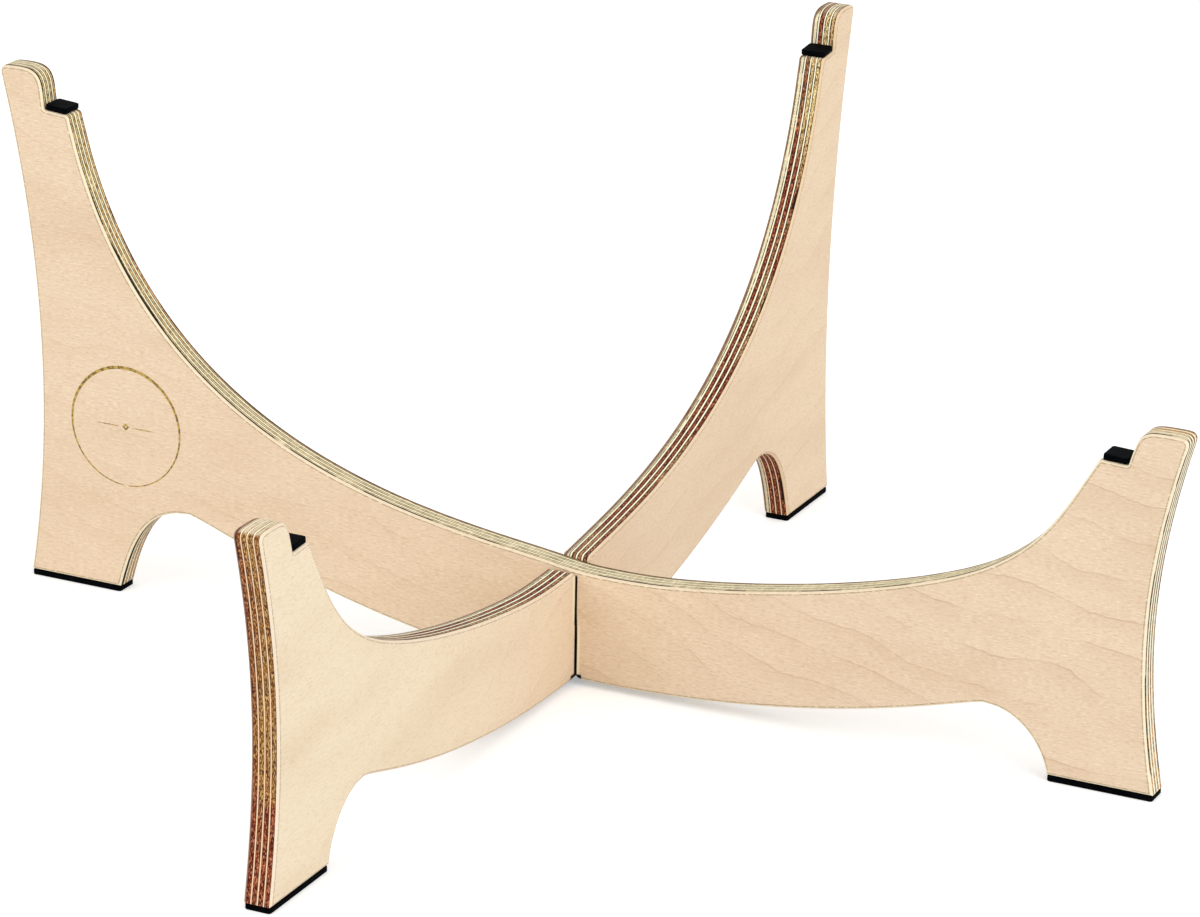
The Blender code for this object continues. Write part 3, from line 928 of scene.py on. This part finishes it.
def plywood(name, flat, look, marks):
    """Birch plywood: the face veneer outside, the plies along the edges, and painted shade and highlight
    at the joint.
    """
    graph = Graph(name)
    spot = spot_of(graph, flat)
    layer = graph.plus(spot.side, look.seed)
    grain = graph.pattern(spot, GRAIN_LINES, layer)
    fleck = graph.pattern(spot, FLECKS, layer)
    sway = graph.swing(graph.pattern(spot, PLY_SWAY, look.seed), PLY_SWAY_WIDTH)
    level = graph.plus(spot.depth, sway)
    veneer = veneer_colour(graph, spot, look, grain, fleck, layer)
    veneer = rounded_veneer(graph, spot, look, veneer, grain, fleck)
    base = graph.mix(graph.shown(level, VENEER), plies_colour(graph, spot, look, level), veneer)
    base = graph.mix(outline_share(graph, spot), base, look.outline)
    graph.feed(graph.shader.inputs["Base Color"], joint_shade_and_highlight(graph, spot, base, look, marks))
    graph.feed(graph.shader.inputs["Roughness"], graph.math("MULTIPLY_ADD", grain, *WOOD_ROUGHNESS))
    graph.shader.inputs["Specular IOR Level"].default_value = WOOD_SPECULAR
    grain_relief, fleck_relief = WOOD_RELIEF
    relief = graph.plus(graph.times(grain, grain_relief), graph.times(fleck, fleck_relief))
    graph.bump(relief, *WOOD_BUMP)
    return graph.material


# Rubber and gold: cells of noise per millimetre, octaves and roughness, and then what they change
RUBBER_SKIN = (2.2, 3.0, 0.6)
RUBBER_DUST = (0.18, 2.0)
RUBBER_DUST_SHOWN = (0.35, 0.75)
RUBBER_COLOURS = (colour(0, 1, 3), colour(5, 6, 9))
RUBBER_ROUGHNESS = (0.25, 0.6)
RUBBER_SPECULAR = 0.03
RUBBER_BUMP = (0.3, 0.0002)
GOLD_WEAR = (0.6, 3.0, 0.65)
GOLD_WEAR_SHOWN = (0.40, 0.62)
GOLD_COLOURS = (colour(200, 166, 78), colour(120, 94, 42))
GOLD_METALLIC = 0.3
GOLD_ROUGHNESS = (0.2, 0.35)


def rubber(name):
    """Matt black rubber with a fine pebbled skin and a little dust."""
    graph = Graph(name)
    skin = graph.even_noise(*RUBBER_SKIN)
    dust = graph.rise(graph.even_noise(*RUBBER_DUST), *RUBBER_DUST_SHOWN)
    graph.feed(graph.shader.inputs["Base Color"], graph.mix(dust, *RUBBER_COLOURS))
    graph.feed(graph.shader.inputs["Roughness"], graph.math("MULTIPLY_ADD", skin, *RUBBER_ROUGHNESS))
    graph.shader.inputs["Specular IOR Level"].default_value = RUBBER_SPECULAR
    graph.bump(skin, *RUBBER_BUMP)
    return graph.material


def gold(name):
    """Gold foil, a little worn."""
    graph = Graph(name)
    worn = graph.even_noise(*GOLD_WEAR)
    base = graph.mix(graph.rise(worn, *GOLD_WEAR_SHOWN), *GOLD_COLOURS)
    graph.feed(graph.shader.inputs["Base Color"], base)
    graph.shader.inputs["Metallic"].default_value = GOLD_METALLIC
    graph.feed(graph.shader.inputs["Roughness"], graph.math("MULTIPLY_ADD", worn, *GOLD_ROUGHNESS))
    return graph.material


# Pads and the gold print

def pad_profile():
    """Inset from the pad's outline and depth under its outer face, for each ring of its points."""
    profile = [(PAD_EDGE * share, PAD_CROWN * number) for number, share in enumerate(PAD_FLAT_RINGS)]
    edge_top = PAD_CROWN * len(PAD_FLAT_RINGS)
    for step in range(PAD_EDGE_STEPS + 1):
        turn = pi / 2 * step / PAD_EDGE_STEPS
        profile.append((PAD_EDGE * (1 - sin(turn)), PAD_EDGE * (1 - cos(turn)) + edge_top))
    profile.append((0.0, PAD_THICKNESS - PAD_CHAMFER))
    profile.append((PAD_CHAMFER, PAD_THICKNESS))
    return profile


def add_pad(name, mount, length, material, body):
    """A rubber pad with rounded corners and edges; mount is the middle of its outer face."""
    outward = Vector(mount["axis"])
    place = Vector(mount["pos_m"])
    across = Vector((0.0, 1.0, 0.0)) if "upper" in name else Vector((1.0, 0.0, 0.0))
    along = across.cross(outward)
    plan = rounded_plan(length, PAD_WIDTH, PAD_CORNER)
    profile = pad_profile()
    rings = []
    for depth, down in profile:
        rings.append([place + along * u + across * v - outward * down for u, v in inset(plan, depth)])
    pad = add_piece(name, closed_stack(rings, inset(plan, profile[0][0])), material, body)
    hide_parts(name.replace("rubber", "pad"))
    return pad


def rounded_plan(length, width, corner):
    """A rectangle with rounded corners round the origin, anticlockwise."""
    points = []
    for quarter, (sx, sy) in enumerate(((1, 1), (-1, 1), (-1, -1), (1, -1))):
        for step in range(PAD_CORNER_STEPS + 1):
            turn = pi / 2 * (quarter + step / PAD_CORNER_STEPS)
            points.append((sx * (length / 2 - corner) + corner * cos(turn),
                           sy * (width / 2 - corner) + corner * sin(turn)))
    return points


def face_strip(name, loops, material, closed=True):
    """A thin raised print on the upper panel's front, from pairs of inner and outer (x, z) points."""
    mesh = bmesh.new()
    front = -PLY / 2
    rows = []
    for inner, outer in loops:
        corners = ((inner, 0.0), (inner, RING_HEIGHT), (outer, RING_HEIGHT), (outer, 0.0))
        rows.append([mesh.verts.new((p[0], front - out, p[1])) for p, out in corners])
    pairs = list(zip(rows, rows[1:]))
    if closed:
        pairs.append((rows[-1], rows[0]))
    else:
        mesh.faces.new(rows[0])
        mesh.faces.new(rows[-1])
    for first, second in pairs:
        join_rings(mesh, first, second)
    return add_piece(name, mesh, material, "upper")


def add_ring(material):
    """A thin ring, broad at the top and fine at the bottom, with a small gap there."""
    loops = []
    for step in range(RING_STEPS + 1):
        turn = radians(RING_START) + (2 * pi - radians(RING_GAP)) * step / RING_STEPS
        half = RING_LINE / 2 * (RING_LINE_SHARE + RING_LINE_SWELL * sin(turn))
        way = (cos(turn), sin(turn))
        radii = (RING_RADIUS - half, RING_RADIUS + half)
        loops.append([tuple(c + w * radius for c, w in zip(RING_CENTRE, way)) for radius in radii])
    face_strip("gold_ring", loops, material, closed=False)


def add_rule(name, direction, material):
    """A short rule inside the ring, fine at both ends; direction is -1 to the left and 1 to the right."""
    x, z = RING_CENTRE
    loops = []
    for reach, half in RULE_PROFILE:
        along = x + direction * reach
        loops.append([(along, z - half), (along, z + half)])
    face_strip(name, loops, material, closed=False)


def add_lozenge(material):
    """A small pierced lozenge in the middle of the ring."""
    x, z = RING_CENTRE
    loops = []
    for step in range(LOZENGE_CORNERS):
        turn = 2 * pi * step / LOZENGE_CORNERS
        loops.append([(x + r * cos(turn), z + r * sin(turn)) for r in (LOZENGE_HOLE, LOZENGE_REACH)])
    face_strip("gold_lozenge", loops, material)


# Stage

def add_floor():
    """A wide white floor that keeps the shadow."""
    mesh_data = bmesh.new()
    bmesh.ops.create_circle(mesh_data, cap_ends=True, segments=FLOOR_SEGMENTS, radius=FLOOR_RADIUS)
    mesh = bpy.data.meshes.new("floor")
    mesh_data.to_mesh(mesh)
    mesh_data.free()
    graph = Graph("white_floor")
    graph.shader.inputs["Base Color"].default_value = (FLOOR_GREY, FLOOR_GREY, FLOOR_GREY, 1.0)
    graph.shader.inputs["Roughness"].default_value = FLOOR_ROUGHNESS
    graph.shader.inputs["Emission Color"].default_value = WHITE
    path = graph.tree.nodes.new("ShaderNodeLightPath")
    seen = graph.times(path.outputs["Is Camera Ray"], FLOOR_GLOW)
    graph.feed(graph.shader.inputs["Emission Strength"], seen)
    mesh.materials.append(graph.material)
    floor = bpy.data.objects.new("floor", mesh)
    bpy.context.scene.collection.objects.link(floor)


def add_world():
    """White behind everything, and an even soft light."""
    world = bpy.data.worlds.new("studio")
    bpy.context.scene.world = world
    world.use_nodes = True
    tree = world.node_tree
    background = tree.nodes["Background"]
    background.inputs["Color"].default_value = WHITE
    path = tree.nodes.new("ShaderNodeLightPath")
    either = tree.nodes.new("ShaderNodeMath")
    either.operation = "MAXIMUM"
    tree.links.new(path.outputs["Is Camera Ray"], either.inputs[0])
    tree.links.new(path.outputs["Is Glossy Ray"], either.inputs[1])
    strength = tree.nodes.new("ShaderNodeMapRange")
    strength.inputs["To Min"].default_value = WORLD_LIGHT
    strength.inputs["To Max"].default_value = 1.0
    tree.links.new(either.outputs[0], strength.inputs["Value"])
    tree.links.new(strength.outputs["Result"], background.inputs["Strength"])


def add_light(lamp):
    """A soft square lamp that faces the stand."""
    data = bpy.data.lights.new(lamp.name, "AREA")
    data.shape = "SQUARE"
    data.size = lamp.size
    data.energy = lamp.power
    light = bpy.data.objects.new(lamp.name, data)
    light.location = lamp.place
    direction = Vector(LIGHT_AIM) - light.location
    light.rotation_euler = direction.to_track_quat("-Z", "Y").to_euler()
    bpy.context.scene.collection.objects.link(light)


def add_camera():
    """The photograph's camera."""
    data = bpy.data.cameras.new("camera")
    data.lens = CAMERA_LENS
    data.sensor_width = SENSOR_WIDTH
    data.sensor_fit = "HORIZONTAL"
    data.clip_start, data.clip_end = CAMERA_RANGE
    camera = bpy.data.objects.new("camera", data)
    camera.location = CAMERA_PLACE
    camera.rotation_euler = [radians(angle) for angle in CAMERA_TURN]
    bpy.context.scene.collection.objects.link(camera)
    bpy.context.scene.camera = camera


def build():
    """The whole scene."""
    add_camera()
    add_floor()
    add_world()
    for lamp in LAMPS:
        add_light(lamp)
    upper_wood = plywood("birch_upper", 1, UPPER_LOOK, upper_joint_painted_light)
    add_panel("upper_plywood", "upper_panel", 1, upper_wood, "upper")
    lower_wood = plywood("birch_lower", 0, LOWER_LOOK, lower_joint_painted_light)
    add_panel("lower_plywood", "lower_panel", 0, lower_wood, "lower")
    black = rubber("rubber")
    for mount in frame["record"]["mounts"]:
        length = FOOT_PAD_LENGTH if "foot" in mount["name"] else REST_PAD_LENGTH
        add_pad(mount["name"] + "_rubber", mount, length, black, mount["name"].split("_")[0])
    foil = gold("gold_foil")
    add_ring(foil)
    add_rule("gold_rule_left", -1, foil)
    add_rule("gold_rule_right", 1, foil)
    add_lozenge(foil)
    bpy.context.scene.view_settings.view_transform = "Standard"


build()
